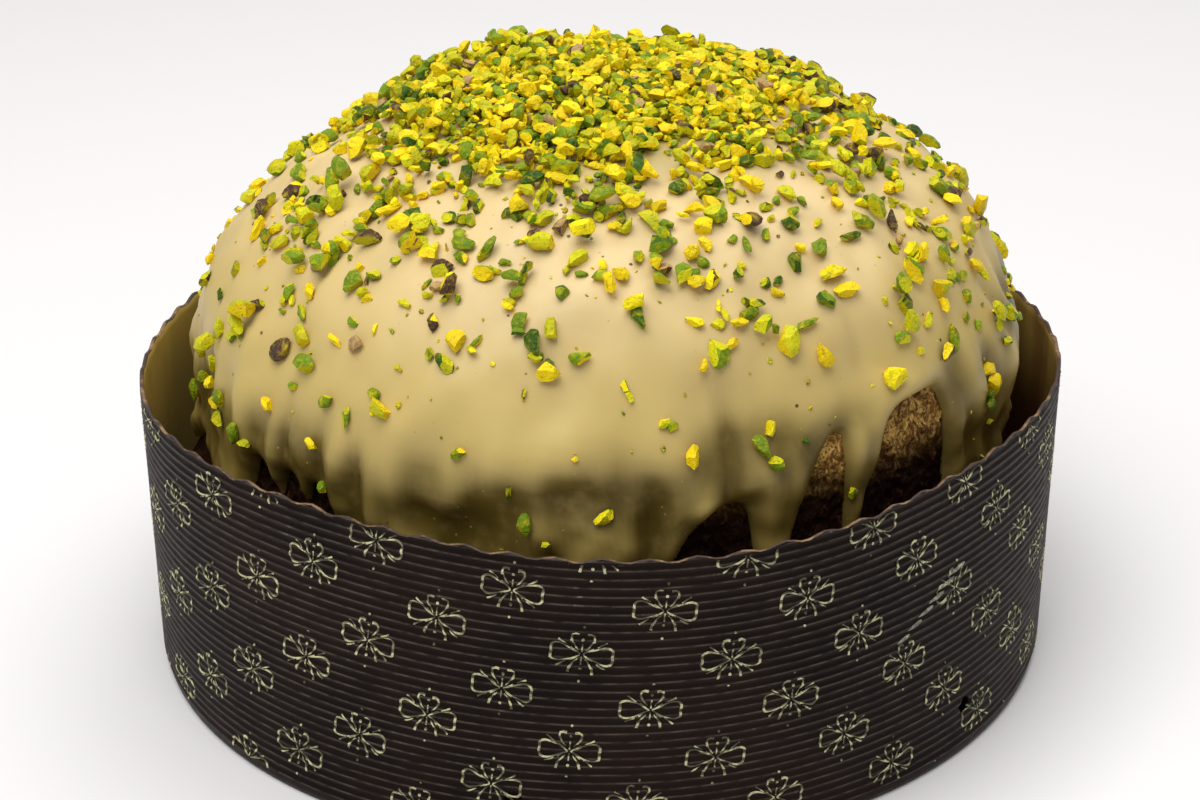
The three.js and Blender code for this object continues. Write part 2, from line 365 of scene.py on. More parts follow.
class Paint:
    """A material built up node by node."""

    def __init__(self, name, roughness, specular=0.5):
        self.material = bpy.data.materials.new(name)
        self.material.use_nodes = True
        self.tree = self.material.node_tree
        self.shader = self.tree.nodes["Principled BSDF"]
        self.shader.inputs["Roughness"].default_value = roughness
        self.shader.inputs["Specular IOR Level"].default_value = specular
        self.place = self.add("ShaderNodeTexCoord").outputs["Object"]

    def add(self, kind, inputs=(), **settings):
        """A node with its settings, its inputs linked to sockets or set to constants."""
        node = self.tree.nodes.new(kind)
        for key, value in settings.items():
            setattr(node, key, value)
        for key, value in dict(inputs).items():
            if isinstance(value, bpy.types.NodeSocket):
                self.tree.links.new(value, node.inputs[key])
            else:
                node.inputs[key].default_value = value
        return node

    def link(self, socket, name):
        self.tree.links.new(socket, self.shader.inputs[name])

    def stretched(self, scale):
        """The place, scaled along the three axes where a scale is given."""
        if scale is None:
            return self.place
        return self.add("ShaderNodeMapping", {"Vector": self.place, "Scale": scale}).outputs[0]

    def noise(self, scale, detail=3.0, roughness=0.6, distortion=0.0, stretch=None):
        inputs = {
            "Vector": self.stretched(stretch),
            "Scale": scale,
            "Detail": detail,
            "Roughness": roughness,
            "Distortion": distortion,
        }
        return self.add("ShaderNodeTexNoise", inputs).outputs[0]

    def cells(self, scale, stretch=None):
        inputs = {"Vector": self.stretched(stretch), "Scale": scale}
        return self.add("ShaderNodeTexVoronoi", inputs, feature="F1").outputs["Distance"]

    def math(self, operation, a, b=0.0):
        return self.add("ShaderNodeMath", {0: a, 1: b}, operation=operation).outputs[0]

    def plus(self, a, b):
        return self.math("ADD", a, b)

    def times(self, a, b):
        return self.math("MULTIPLY", a, b)

    def ranged(self, value, low, high, to_low=0.0, to_high=1.0):
        """The value from low to high as a value between two others, smoothed at both ends."""
        inputs = {0: value, 1: low, 2: high, 3: to_low, 4: to_high}
        return self.add("ShaderNodeMapRange", inputs, interpolation_type="SMOOTHSTEP").outputs[0]

    def mix(self, factor, a, b):
        """Two colours mixed, each of them a socket or a constant."""
        inputs = {0: factor}
        for index, color in ((6, a), (7, b)):
            constant = not isinstance(color, bpy.types.NodeSocket)
            inputs[index] = (*color[:3], 1) if constant else color
        return self.add("ShaderNodeMix", inputs, data_type="RGBA").outputs[2]

    def along(self, axis):
        return self.add("ShaderNodeSeparateXYZ", {0: self.place}).outputs[axis]

    def crest(self, mould):
        """1 on the crests of the paper's flutes and -1 in their valleys."""
        phase = self.times(self.along("Z"), 2 * math.pi / mould.flute_pitch)
        offset = -2 * math.pi * MOULD_HEIGHT / mould.flute_pitch
        return self.math("COSINE", self.plus(phase, offset))

    def attribute(self, name, output="Color"):
        return self.add("ShaderNodeAttribute", attribute_name=name).outputs[output]

    def bump(self, height, distance, strength=1.0):
        inputs = {"Height": height, "Distance": distance, "Strength": strength}
        self.link(self.add("ShaderNodeBump", inputs).outputs[0], "Normal")


# ---- Mould ----

SKEWERS = (50, 170, 230, 350)  # the azimuths of the four skewer holes


def sway(azimuth, height):
    """How far the soft wall has gone out of round at a place. Both may be arrays."""
    turn = np.radians(azimuth)
    rim = 1.1 * np.cos(2 * turn + 0.55) + 1.4 * np.cos(4 * turn - 0.75)
    rim += 1.2 * np.cos(5 * turn - 0.6)
    foot = -0.9 * np.sin(2 * turn)
    share = np.clip(height / MOULD_HEIGHT, 0, 1)
    return (rim * share + foot * (1 - share)) * MM


def mould_radius(azimuth, height):
    """How far out the mould's outer face stands, flutes included. Both may be arrays."""
    mould = bpy.context.scene.panettone_mould
    ridge = np.sin(math.pi * (MOULD_HEIGHT - height) / mould.flute_pitch) ** 2
    return MOULD_RADIUS - mould.flute_depth * ridge**1.4 + sway(azimuth, height)


def wall_profile(mould):
    """The wall's section as (radius, height), from the foot's inner edge round and back to it."""
    inner = MOULD_RADIUS - mould.thickness
    foot = MOULD_RADIUS - mould.foot_width
    paper = BASE_BOX[0].z - 0.3 * MM
    bend = 1.2 * MM
    section = [(foot, 0), (foot + 0.3 * (inner - foot), 0), (foot + 0.7 * (inner - foot), 0)]
    for degrees in (0, 22.5, 45, 67.5, 90):
        a = math.radians(degrees)
        out = MOULD_RADIUS - bend + bend * math.sin(a) - mould.flute_depth
        section.append((out, bend - bend * math.cos(a)))
    flutes = int((MOULD_HEIGHT - 2 * bend) / mould.flute_pitch)
    for row in range(FLUTE_ROWS * flutes, -1, -1):
        height = MOULD_HEIGHT - 0.35 * MM - row * mould.flute_pitch / FLUTE_ROWS
        section.append((float(mould_radius(0, height) - sway(0, height)), height))
    section += [
        (MOULD_RADIUS - 0.15 * MM, MOULD_HEIGHT - 0.08 * MM),
        (MOULD_RADIUS - 0.4 * MM, MOULD_HEIGHT),
        (inner + 0.2 * MM, MOULD_HEIGHT - 0.02 * MM),
    ]
    inside_rows = 36
    for row in range(inside_rows):
        height = MOULD_HEIGHT - 0.3 * MM - row * (MOULD_HEIGHT - 2 * bend) / (inside_rows - 1)
        section.append((inner, height))
    section += [(inner - 0.5 * MM, paper), (foot + 0.5 * (inner - foot), paper), (foot, paper)]
    return section


def lathed(name, section, steps):
    """A closed ring: the section drawn by extruding one vertex, then turned round the Z axis."""
    deselect_all()
    (start, level), *_ = section
    bpy.ops.mesh.primitive_plane_add(size=MM, location=(start, 0, level))
    piece = named(name)
    bpy.ops.object.mode_set(mode="EDIT")
    bpy.ops.mesh.merge(type="CENTER")
    bpy.ops.mesh.select_all(action="SELECT")
    for (r0, z0), (r1, z1) in zip(section, [*section[1:], section[0]]):
        step = {"value": (r1 - r0, 0, z1 - z0)}
        bpy.ops.mesh.extrude_vertices_move(TRANSFORM_OT_translate=step)
    object_mode()
    bpy.ops.object.transform_apply(location=True)
    with editing(piece):
        bpy.ops.mesh.spin(steps=steps, angle=2 * math.pi, center=(0, 0, 0), axis=(0, 0, 1))
        bpy.ops.mesh.select_all(action="SELECT")
        bpy.ops.mesh.remove_doubles(threshold=SAME_SPOT)
        bpy.ops.mesh.normals_make_consistent(inside=False)
    return piece


def shape_wall(piece, mould):
    """Gives the turned wall its sway, its wavy rim and the pleats of its foot."""
    spots = places(piece)
    radius = reaches(spots)
    turn = turns(spots)
    height = spots[:, 2]
    near_rim = np.clip((height - MOULD_HEIGHT + 2.0 * MM) / (2.0 * MM), 0, 1)
    wave = np.cos(mould.scallops * turn) + 0.35 * np.sin(29 * turn + 1) * np.cos(11 * turn)
    foot = np.clip((MOULD_RADIUS - 1.6 * MM - radius) / (3 * MM), 0, 1) * (height < 2 * MM)
    pleat = 0.14 * MM * (1 + np.cos(90 * turn + 2 * np.sin(5 * turn)))
    level = height + SCALLOP_RISE * wave * near_rim**1.5 + pleat * foot * (height < 0.3 * MM)
    set_places(piece, turned(turn, radius + sway(np.degrees(turn), height), level))


def pierce(piece, azimuth):
    """A skewer hole through the wall."""
    deselect_all()
    bpy.ops.mesh.primitive_cylinder_add(
        vertices=20,
        radius=2 * MM,
        depth=8 * MM,
        location=around(azimuth, MOULD_RADIUS - 0.5 * MM, 12 * MM),
        rotation=(math.radians(90), 0, math.radians(azimuth)),
    )
    cutter = named("skewer")
    modify(piece, "BOOLEAN", operation="DIFFERENCE", object=cutter, solver="EXACT")
    bpy.data.objects.remove(cutter)


def paper_outside(mould):
    """Dark satin paper: painted highlight along the crests of the flutes, broken by short dashes of
    painted glint, with a faint fibre and a dusty bloom.
    """
    paint = Paint("paper_outside", roughness=0.46, specular=0.09)
    fibre = paint.noise(260, 4, stretch=(1, 1, 3.5))
    # Painted glints: short pale dashes along the lit crests.
    glint_dashes = paint.noise(330, 4, 0.65, stretch=(1, 1, 0.35))
    # Painted highlight along the crests of the flutes.
    crest_highlight = paint.times(paint.ranged(paint.crest(mould), 0.62, 1.0), paint.ranged(fibre, 0.30, 0.68))
    crest_glints = paint.times(crest_highlight, paint.ranged(glint_dashes, 0.62, 0.74))
    bloom = paint.ranged(paint.noise(28), 0.35, 0.7)
    base = paint.mix(bloom, mould.outside, (0.0140, 0.0070, 0.0048))
    base = paint.mix(crest_highlight, base, mould.outside_crest_highlight)
    paint.link(paint.mix(crest_glints, base, (0.20, 0.19, 0.17)), "Base Color")
    paint.link(paint.ranged(fibre, 0.3, 0.7, 0.38, 0.56), "Roughness")
    paint.bump(paint.noise(900, stretch=(1, 1, 2)), 0.05 * MM, 0.6)
    return paint.material


def paper_inside(mould):
    """Brown paper with grease marks and soft upright streaks; painted light makes it golden on the
    left, and painted shade darkens it lower down, in the gap beside the loaf.
    """
    paint = Paint("paper_inside", roughness=0.42, specular=0.35)
    streak = paint.noise(55, 3, 0.5, stretch=(1, 1, 0.06))
    brown = paint.mix(paint.ranged(streak, 0.42, 0.66), mould.inside, (0.66, 0.46, 0.12))
    # Painted shade: darker lower down, in the narrow gap between the loaf and the wall.
    low = paint.ranged(paint.along("Z"), 40 * MM, 68 * MM)
    brown = paint.mix(low, (0.095, 0.030, 0.005), brown)
    # Painted light: golden on the left, where light thrown from the dome falls on the paper.
    golden = paint.ranged(paint.along("X"), -55 * MM, -98 * MM, 0.0, 0.7)
    brown = paint.mix(golden, brown, (0.80, 0.60, 0.15))
    stain = paint.ranged(paint.noise(30, 4), 0.5, 0.75)
    paint.link(paint.mix(stain, brown, (0.13, 0.05, 0.014)), "Base Color")
    paint.link(paint.ranged(streak, 0.3, 0.7, 0.5, 0.3), "Roughness")
    paint.bump(paint.noise(500), 0.06 * MM, 0.5)
    return paint.material


def paper_cut(mould):
    """The bare cut edge: tan fibres, dark where the face's colour has come over."""
    paint = Paint("paper_cut", roughness=0.8)
    fibre = paint.noise(700)
    tan = paint.mix(paint.ranged(fibre, 0.3, 0.7), (0.16, 0.085, 0.04), mould.cut)
    patch = paint.ranged(paint.noise(160), 0.46, 0.62)
    paint.link(paint.mix(patch, (0.05, 0.028, 0.02), tan), "Base Color")
    paint.bump(fibre, 0.08 * MM, 0.7)
    return paint.material


def board():
    """The base disc: matt brown board with flattened fibres."""
    paint = Paint("board", roughness=0.72)
    fibre = paint.noise(420, 4, 0.65, stretch=(1, 3, 1))
    brown = paint.mix(paint.ranged(fibre, 0.3, 0.7), (0.060, 0.030, 0.017), (0.105, 0.058, 0.033))
    greasy = paint.ranged(paint.noise(22), 0.5, 0.7)
    paint.link(paint.mix(greasy, brown, (0.045, 0.020, 0.010)), "Base Color")
    paint.bump(fibre, 0.07 * MM, 0.6)
    return paint.material


class PANETTONE_OT_mould_wall(bpy.types.Operator):
    """Turns the fluted paper wall and pierces it for the skewers"""

    bl_idname = "panettone.mould_wall"
    bl_label = "Mould wall"

    def execute(self, context):
        mould = context.scene.panettone_mould
        wall = lathed("mould_paper_wall", wall_profile(mould), mould.steps)
        shape_wall(wall, mould)
        for azimuth in SKEWERS:
            pierce(wall, azimuth)
        coated(wall, paper_outside(mould), paper_inside(mould), paper_cut(mould))
        middles = centres(wall)
        height = middles[:, 2]
        radius = reaches(middles) - sway(np.degrees(turns(middles)), height)
        face = np.where(radius < MOULD_RADIUS - mould.thickness + 0.2 * MM, 1, 0)
        face[height < 0.3 * MM] = 0
        face[(height > MOULD_HEIGHT - 1.1 * MM) & (normals(wall)[:, 2] > 0.45)] = 2
        wall.data.polygons.foreach_set("material_index", face)
        finished(wall, "mould_paper", "mould_wall")
        return {"FINISHED"}


class PANETTONE_OT_mould_lap(bpy.types.Operator):
    """Lays the glued overlap of the paper strip at the back of the wall"""

    bl_idname = "panettone.mould_lap"
    bl_label = "Mould overlap"

    azimuth: bpy.props.FloatProperty(name="Azimuth", description="Middle of the overlap", default=196)

    def execute(self, context):
        mould = context.scene.panettone_mould
        lowest = 3 * MM
        row_count = int((MOULD_HEIGHT - 0.6 * MM - lowest) / (mould.flute_pitch / FLUTE_ROWS))
        deselect_all()
        bpy.ops.mesh.primitive_grid_add(x_subdivisions=12, y_subdivisions=row_count, size=1)
        lap = named("mould_paper_overlap")
        spots = places(lap)
        half = math.degrees(mould.lap_width / MOULD_RADIUS) / 2
        height = lowest + (spots[:, 1] + 0.5) * row_count * mould.flute_pitch / FLUTE_ROWS
        azimuth = self.azimuth + 2 * half * spots[:, 0]
        azimuth += 0.25 * np.sin(height / (9 * MM)) * (spots[:, 0] > 0.49)
        radius = mould_radius(azimuth, height) + 0.02 * MM
        set_places(lap, turned(np.radians(azimuth), radius, height))
        modify(lap, "SOLIDIFY", thickness=0.5 * MM, offset=1.0)
        face_outwards(lap)
        coated(lap, bpy.data.materials["paper_outside"], bpy.data.materials["paper_cut"])
        ways = normals(lap)
        outward = unit(centres(lap) * (1, 1, 0))
        cut = (np.abs((ways * outward).sum(1)) < 0.3) & (np.abs(ways[:, 2]) < 0.5)
        lap.data.polygons.foreach_set("material_index", cut.astype(int))
        finished(lap, "mould_paper", angle=40)
        return {"FINISHED"}


class PANETTONE_OT_mould_base(bpy.types.Operator):
    """Cuts the board disc that lies on the turned-in foot"""

    bl_idname = "panettone.mould_base"
    bl_label = "Mould base"

    def execute(self, context):
        low, high = BASE_BOX
        radius = high.x - 1.2 * MM
        section = [
            (0.1 * MM, low.z),
            (0.30 * radius, low.z),
            (0.31 * radius, low.z + 0.12 * MM),
            (0.325 * radius, low.z + 0.12 * MM),
            (0.335 * radius, low.z),
            (0.6 * radius, low.z),
            (0.80 * radius, low.z),
            (0.808 * radius, low.z + 0.15 * MM),
            (0.816 * radius, low.z + 0.15 * MM),
            (0.824 * radius, low.z),
            (radius - 0.2 * MM, low.z),
            (radius, low.z + 0.2 * MM),
            (radius, high.z - 0.1 * MM),
            (radius - 0.1 * MM, high.z),
            (0.6 * radius, high.z),
            (0.1 * MM, high.z),
        ]
        base = lathed("mould_board_base", section, 96)
        for level in (low.z, high.z):
            spots = places(base)
            hub = (reaches(spots) < 0.2 * MM) & (np.abs(spots[:, 2] - level) < 0.01 * MM)
            with editing(base, "VERT", hub):
                bpy.ops.mesh.merge(type="CENTER")
        with editing(base):
            bpy.ops.mesh.delete_loose()
        face_outwards(base)
        coated(base, board())
        finished(base, "mould_board", "mould_base", angle=30)
        return {"FINISHED"}


# ---- Print on the mould ----


def petal(t):
    """The outline of a side petal one unit long, from its root round and back, for t from 0 to 1."""
    a = 2 * math.pi * t
    along = 0.5 - 0.5 * math.cos(a)
    across = 0.36 * math.sin(a) * (0.30 + 0.70 * along)
    notch = 0.08 * math.exp(-((t - 0.5) / 0.06) ** 2)
    return Vector((0.05 + 0.95 * along**0.85 - notch, across * 1.22, 0))


def band(points, width, swell=None):
    """A flat strip bent along the points; swell gives the share of its width for each of them."""
    steps = len(points) - 1
    deselect_all()
    bpy.ops.mesh.primitive_grid_add(x_subdivisions=steps, y_subdivisions=1, size=2)
    strip = named("stroke")
    spots = places(strip)
    for index, (x, y, _) in enumerate(spots):
        i = round((x + 1) / 2 * steps)
        along = points[min(i + 1, steps)] - points[max(i - 1, 0)]
        side = Vector((-along.y, along.x, 0)).normalized() * width / 2
        spots[index] = points[i] + side * y * (swell(i / steps) if swell else 1)
    set_places(strip, spots)
    return strip


def dot(height, radius):
    deselect_all()
    place = (0, height, 0)
    bpy.ops.mesh.primitive_circle_add(vertices=8, radius=radius, location=place, fill_type="TRIFAN")
    bpy.ops.object.transform_apply(location=True)
    return bpy.context.object


def ray(lean, start, end, steps=4):
    """Points straight out from the middle, leaning that many degrees from upright."""
    way = Vector((math.sin(math.radians(lean)), math.cos(math.radians(lean)), 0))
    return [way * (start + (end - start) * i / steps) for i in range(steps + 1)]


def mirrored(points, side, up, size):
    """A stroke's points at the flower's size, turned to its side and up or down."""
    return [Vector((side * p[0], up * p[1], 0)) * size for p in points]


def flower(settings):
    """One printed flower: two side petals in outline, a cup and a bead above and below, stamens."""
    size = settings.flower_width / 2
    line = settings.line
    strokes = []
    for side in (-1, 1):
        outline = mirrored([petal(t / 24) for t in range(25)], side, 1, size)
        strokes.append(band(outline, line, lambda t: 0.65 + 0.75 * math.sin(math.pi * t) ** 4))
    cup = [(0.35, 0.56), (0.30, 0.43), (0.24, 0.32), (0.18, 0.22)]
    for up in (-1, 1):
        brim = [(0.13, 0.69), (0.23, 0.71), (0.33, 0.67)] if up > 0 else [(0.37, 0.68)]
        for side in (-1, 1):
            curl = mirrored([*brim, *cup], side, up, size)
            strokes.append(band(curl, line, lambda t: 1.45 - 0.9 * t))
            for lean, start, reach in ((36, 0.20, 0.62), (57, 0.55, 0.88), (57, 0.15, 0.42)):
                stamen = mirrored(ray(lean, start, reach), side, up, size)
                strokes.append(band(stamen, 0.8 * line, lambda t: 0.55 + 0.6 * t))
        strokes.append(dot(up * 0.53 * size, 0.85 * line))
        stem = mirrored([(0, 0.08), (0, 0.22), (0, 0.36)], 1, up, size)
        strokes.append(band(stem, 0.7 * line))
        strokes.append(dot(up * 0.96 * size, 0.72 * line))
    return joined(strokes, "flower")


def lattice(settings):
    """The flowers' places, along the wall from the front and up it, and the slope of their row.

    The strip was glued a little aslant, so the rows lie in tilted planes.
    """
    columns = round(2 * math.pi * MOULD_RADIUS / settings.column_pitch)
    tilt = settings.tilt
    for j in range(-2, 14):
        for i in range(columns):
            azimuth = 6.7 + 360 / columns * (i + 0.5 * (j % 2)) - 0.71 * j
            azimuth = (azimuth + 180) % 360 - 180
            turn = math.radians(azimuth + 50)
            height = 74.7 * MM - j * settings.row_pitch - tilt * math.sin(turn)
            if -5 * MM < height < MOULD_HEIGHT + 5 * MM:
                along = math.radians(azimuth) * MOULD_RADIUS
                yield along, height, -tilt / MOULD_RADIUS * math.cos(turn)


def wrapped(piece, lift, depth):
    """Lays a flat piece round the wall, X along it and Y up, and gives it a thickness."""
    spots = places(piece)
    azimuth = np.degrees(spots[:, 0] / MOULD_RADIUS)
    height = spots[:, 1]
    radius = mould_radius(azimuth, height) + lift
    set_places(piece, turned(np.radians(azimuth), radius, height))
    face_outwards(piece)
    inward = (normals(piece) * centres(piece))[:, :2].sum(1) < 0
    if inward.any():
        with editing(piece, "FACE", inward):
            bpy.ops.mesh.flip_normals()
    modify(piece, "SOLIDIFY", thickness=depth, offset=-1.0)


def gold_ink(settings, mould):
    """Thin gold ink: painted shade darkens it in the flutes' valleys, and it is patchy where the
    press left it so.
    """
    paint = Paint("gold_ink", roughness=0.5, specular=0.3)
    # Painted shade: the ink goes dark in the flutes' valleys.
    valley_shade = paint.ranged(paint.crest(mould), -0.8, 0.5)
    shade = paint.mix(valley_shade, (0.07, 0.065, 0.033), settings.ink)
    faded = paint.ranged(paint.noise(600), 0.44, 0.60, 0.0, 0.8)
    paint.link(paint.mix(faded, shade, (0.10, 0.095, 0.055)), "Base Color")
    return paint.material


def rubbed_paper():
    paint = Paint("paper_scuffed", roughness=0.75)
    fibre = paint.ranged(paint.noise(900), 0.35, 0.65)
    paint.link(paint.mix(fibre, (0.12, 0.115, 0.09), (0.36, 0.36, 0.28)), "Base Color")
    return paint.material


class PANETTONE_OT_print(bpy.types.Operator):
    """Prints rows of outlined flowers round the wall, a little aslant"""

    bl_idname = "panettone.print"
    bl_label = "Print"

    def execute(self, context):
        settings = context.scene.panettone_print
        master = flower(settings)
        copies = []
        for along, height, slope in lattice(settings):
            turn = Matrix.Rotation(0.4 * slope - 0.05, 4, "Z")
            copies.append(placed_copy(master, Matrix.Translation((along, height, 0)) @ turn))
        bpy.data.objects.remove(master)
        flowers = joined(copies, "mould_print_flowers")
        seam = math.pi * MOULD_RADIUS
        for place, outward in (
            ((0, MOULD_HEIGHT - 0.8 * MM, 0), (0, 1, 0)),
            ((0, 2.4 * MM, 0), (0, -1, 0)),
            ((seam, 0, 0), (1, 0, 0)),
            ((-seam, 0, 0), (-1, 0, 0)),
        ):
            with editing(flowers):
                bpy.ops.mesh.bisect(plane_co=place, plane_no=outward, clear_outer=True)
        wrapped(flowers, 0.11 * MM, INK_DEPTH)
        coated(flowers, gold_ink(settings, context.scene.panettone_mould))
        finished(flowers, "mould_paper", angle=40)
        return {"FINISHED"}


class PANETTONE_OT_scuff(bpy.types.Operator):
    """Rubs a slanting row of pale scuffs into the crests of the flutes"""

    bl_idname = "panettone.scuff"
    bl_label = "Scuffs"

    def execute(self, context):
        pitch = context.scene.panettone_mould.flute_pitch
        scuffs = []
        for i in range(6):
            height = MOULD_HEIGHT - pitch * (round((MOULD_HEIGHT - 37 * MM) / pitch) - i)
            half = (1.9 + 0.25 * i) * MM
            along = math.radians(37.6 + 1.9 * i) * MOULD_RADIUS
            shares = [step / 8 - 0.5 for step in range(9)]
            points = [Vector((along + 2 * half * t, height + 1.1 * MM * t, 0)) for t in shares]
            scuffs.append(band(points, 0.85 * MM, self.swell))
        piece = joined(scuffs, "mould_paper_scuffs")
        wrapped(piece, 0.13 * MM, INK_DEPTH)
        coated(piece, rubbed_paper())
        finished(piece, "mould_paper", angle=40)
        return {"FINISHED"}

    @staticmethod
    def swell(t):
        """A scuff's share of its width: pointed at both ends."""
        return math.sqrt(max(1 - (2 * t - 1) ** 2, 0.01))


# ---- Loaf and glaze ----

# Where the dome sank a little in cooling: azimuth, elevation from the core, reach in degrees, depth.
SINKS = [(115, 68, 18, 1.6), (70, 42, 12, 0.8), (-88, 40, 14, 0.8), (-60, 66, 9, 0.8)]

# Where the glaze parted: the azimuths of its left foot, top and right foot, the height of the
# top, and how square the left and right sides are.
PARTINGS = [
    (7.0, 16.4, 20.9, 71.6, 2.1, 4.5),
    (23.2, 32.7, 34.3, 82.2, 1.9, 7.0),
    (35.2, 46.4, 55.6, 83.6, 3.6, 7.5),
    (-58.0, -53.0, -47.5, 66.4, 2.6, 2.6),
    (-50.5, -46.0, -42.0, 67.0, 2.6, 3.0),
    (-44.6, -40.5, -36.6, 67.2, 3.0, 2.6),
    (105.0, 112.0, 118.0, 70.5, 2.5, 3.0),
    (142.0, 151.0, 162.0, 79.0, 3.0, 2.2),
    (-147.0, -139.0, -133.5, 74.5, 2.2, 4.0),
    (-104.0, -98.0, -92.0, 66.5, 2.5, 2.5),
]

# Soft humps and hollows of the glaze: azimuth, height, half width along, half width up, rise.
HUMPS = [
    (-49, 75, 2.4, 9, 0.8),
    (-43, 74, 2.2, 8, 0.8),
    (-36, 76, 2.6, 8, 1.0),
    (-28, 74, 3.4, 9, 1.1),
    (-19, 75, 4.0, 6, 1.0),
    (-11, 77, 6.0, 5, 1.0),
    (-8, 67.5, 5.0, 3.0, 1.5),
    (3, 66, 3.0, 4.6, 1.6),
    (8, 83, 6.0, 5, 0.9),
    (13, 69, 4.0, 7, 1.0),
    (21, 78, 4.0, 7, 1.2),
    (28, 92, 7.0, 7, 1.5),
    (34.5, 72, 2.6, 12, 0.7),
    (60, 78, 5.0, 10, 1.2),
    (-64, 82, 4.0, 14, 0.9),
    (-57, 92, 3.0, 20, 0.7),
    (-23, 68, 6.0, 3.6, -2.0),
    (-16, 66, 4.2, 3.4, -1.8),
    (-13, 76, 5.0, 3.0, -1.2),
    (-3, 75.5, 7.0, 2.8, -2.3),
    (6.5, 71.5, 3.0, 6.0, -2.1),
    (16.8, 87, 2.6, 6.0, -1.9),
    (16.5, 78, 1.8, 7.0, -1.1),
    (38.5, 97, 2.4, 8.0, -1.3),
    (-46.4, 73, 1.5, 8, -1.4),
    (-39.8, 72, 1.5, 9, -1.4),
    (-33, 71, 1.8, 8, -1.6),
    (46, 112, 6.0, 6.0, -1.2),
    (30, 109, 12.0, 4.0, -0.9),
    (-52, 104, 3.0, 16.0, -1.5),
    (66, 76, 2.6, 10, -1.3),
    (75, 90, 3.0, 12, -1.0),
    (88, 70, 4.0, 8, 1.0),
    (99, 74, 2.6, 9, -1.3),
    (128, 76, 4.0, 9, 1.3),
    (136, 72, 2.4, 8, -1.5),
    (151, 90, 7.0, 6, 1.3),
    (172, 74, 4.0, 10, 1.2),
    (-176, 88, 3.0, 9, -1.3),
    (-170, 70, 2.6, 9, -1.5),
    (-158, 76, 5.0, 8, 1.2),
    (-139, 84, 6.0, 7, 1.1),
    (-122, 72, 3.6, 9, 1.2),
    (-114, 70, 2.2, 9, -1.5),
    (-98, 86, 6.0, 8, 1.0),
    (-84, 74, 3.6, 10, 0.9),
    (-77, 72, 2.2, 9, -1.4),
]


def edge_height(azimuth, level):
    """The height of the glaze's lower edge at an azimuth: slow runs, broken by the partings."""
    a = math.radians(azimuth)
    floor = level + (3.2 * math.sin(9 * a + 0.6) + 2.4 * math.sin(14 * a + 2.1)) * MM
    height = floor
    for left, top, right, peak, left_square, right_square in PARTINGS:
        if left < azimuth < right:
            if azimuth < top:
                off = ((top - azimuth) / (top - left)) ** left_square
            else:
                off = ((azimuth - top) / (right - top)) ** right_square
            height = max(height, floor + (peak * MM - floor) * (1 - off))
    return height


class GlazeEdge:
    """The glaze's lower edge, laid out flat: X along the widest ring of the loaf and Y up."""

    def __init__(self, level):
        self.level = level
        corners = []
        steps = 1800
        for i in range(steps + 1):
            azimuth = -180 + 360 * i / steps
            along = math.radians(azimuth) * DOME_RADIUS
            corners.append(Vector((along, edge_height(azimuth, level), 0)))
        line = []
        for a, b in zip(corners, corners[1:]):
            pieces = max(1, math.ceil((b - a).length / (0.3 * MM)))
            line.extend(a.lerp(b, k / pieces) for k in range(pieces))
        self.tree = KDTree(len(line))
        for i, point in enumerate(line):
            self.tree.insert(point, i)
        self.tree.balance()

    def nearest(self, spot):
        """The signed distance to the edge, positive in the glaze, and the nearest edge point."""
        here = Vector((math.atan2(spot[0], -spot[1]) * DOME_RADIUS, spot[2], 0))
        point, _, distance = self.tree.find(here)
        azimuth = math.degrees(here.x / DOME_RADIUS)
        inside = here.y > edge_height(azimuth, self.level)
        return (distance if inside else -distance), point

    def distances(self, spots):
        """Signed distances for an array of places; far ones are only told apart by their sign."""
        result = np.where(spots[:, 2] > EDGE_ABOVE, FAR, -FAR)
        for i in np.flatnonzero((spots[:, 2] >= EDGE_BELOW) & (spots[:, 2] <= EDGE_ABOVE)):
            result[i] = self.nearest(spots[i])[0]
        return result

    def snapped(self, spot, reach):
        """The place moved onto the edge line, or left where that is out of reach."""
        distance, point = self.nearest(spot)
        if abs(distance) > reach:
            return spot
        turn = point.x / DOME_RADIUS
        radius = math.hypot(spot[0], spot[1])
        return np.array([radius * math.sin(turn), -radius * math.cos(turn), point.y])


def smooth_loaf(name):
    """The loaf's shape with a fine, even skin."""
    piece = copy_of_node("loaf", name)
    flat = math.radians(60)
    with editing(piece):
        bpy.ops.mesh.tris_convert_to_quads(face_threshold=flat, shape_threshold=flat)
    modify(piece, "SUBSURF", levels=2, render_levels=2)
    spots = places(piece)
    outward = unit(spots - np.array(CORE))
    sunk = 1.9 * MM * np.clip((spots[:, 2] - 76 * MM) / (16 * MM), 0, 1)
    for azimuth, elevation, reach, depth in SINKS:
        up = math.radians(elevation)
        toward = np.array(around(azimuth, math.cos(up), math.sin(up)))
        off = np.arccos(np.clip(outward @ toward, -1, 1)) / math.radians(reach)
        sunk += depth * MM * np.exp(-off * off)
    set_places(piece, spots - outward * sunk[:, None])
    return piece


def open_border(mesh):
    """The vertices along the open border."""
    uses = np.bincount([loop.edge_index for loop in mesh.loops], minlength=len(mesh.edges))
    return {v for edge, n in zip(mesh.edges, uses) if n == 1 for v in edge.vertices}


def hump_at(azimuth, height):
    """The height of the glaze's humps and hollows at a place, in metres."""
    rise = 0.0
    for middle, level, along, up, size in HUMPS:
        off = (azimuth - middle + 540) % 360 - 180
        x = math.radians(off) * DOME_MM / along
        y = (height / MM - level) / up
        if abs(x) < 3 and abs(y) < 3:
            rise += size * math.exp(-x * x - y * y)
    return rise * MM


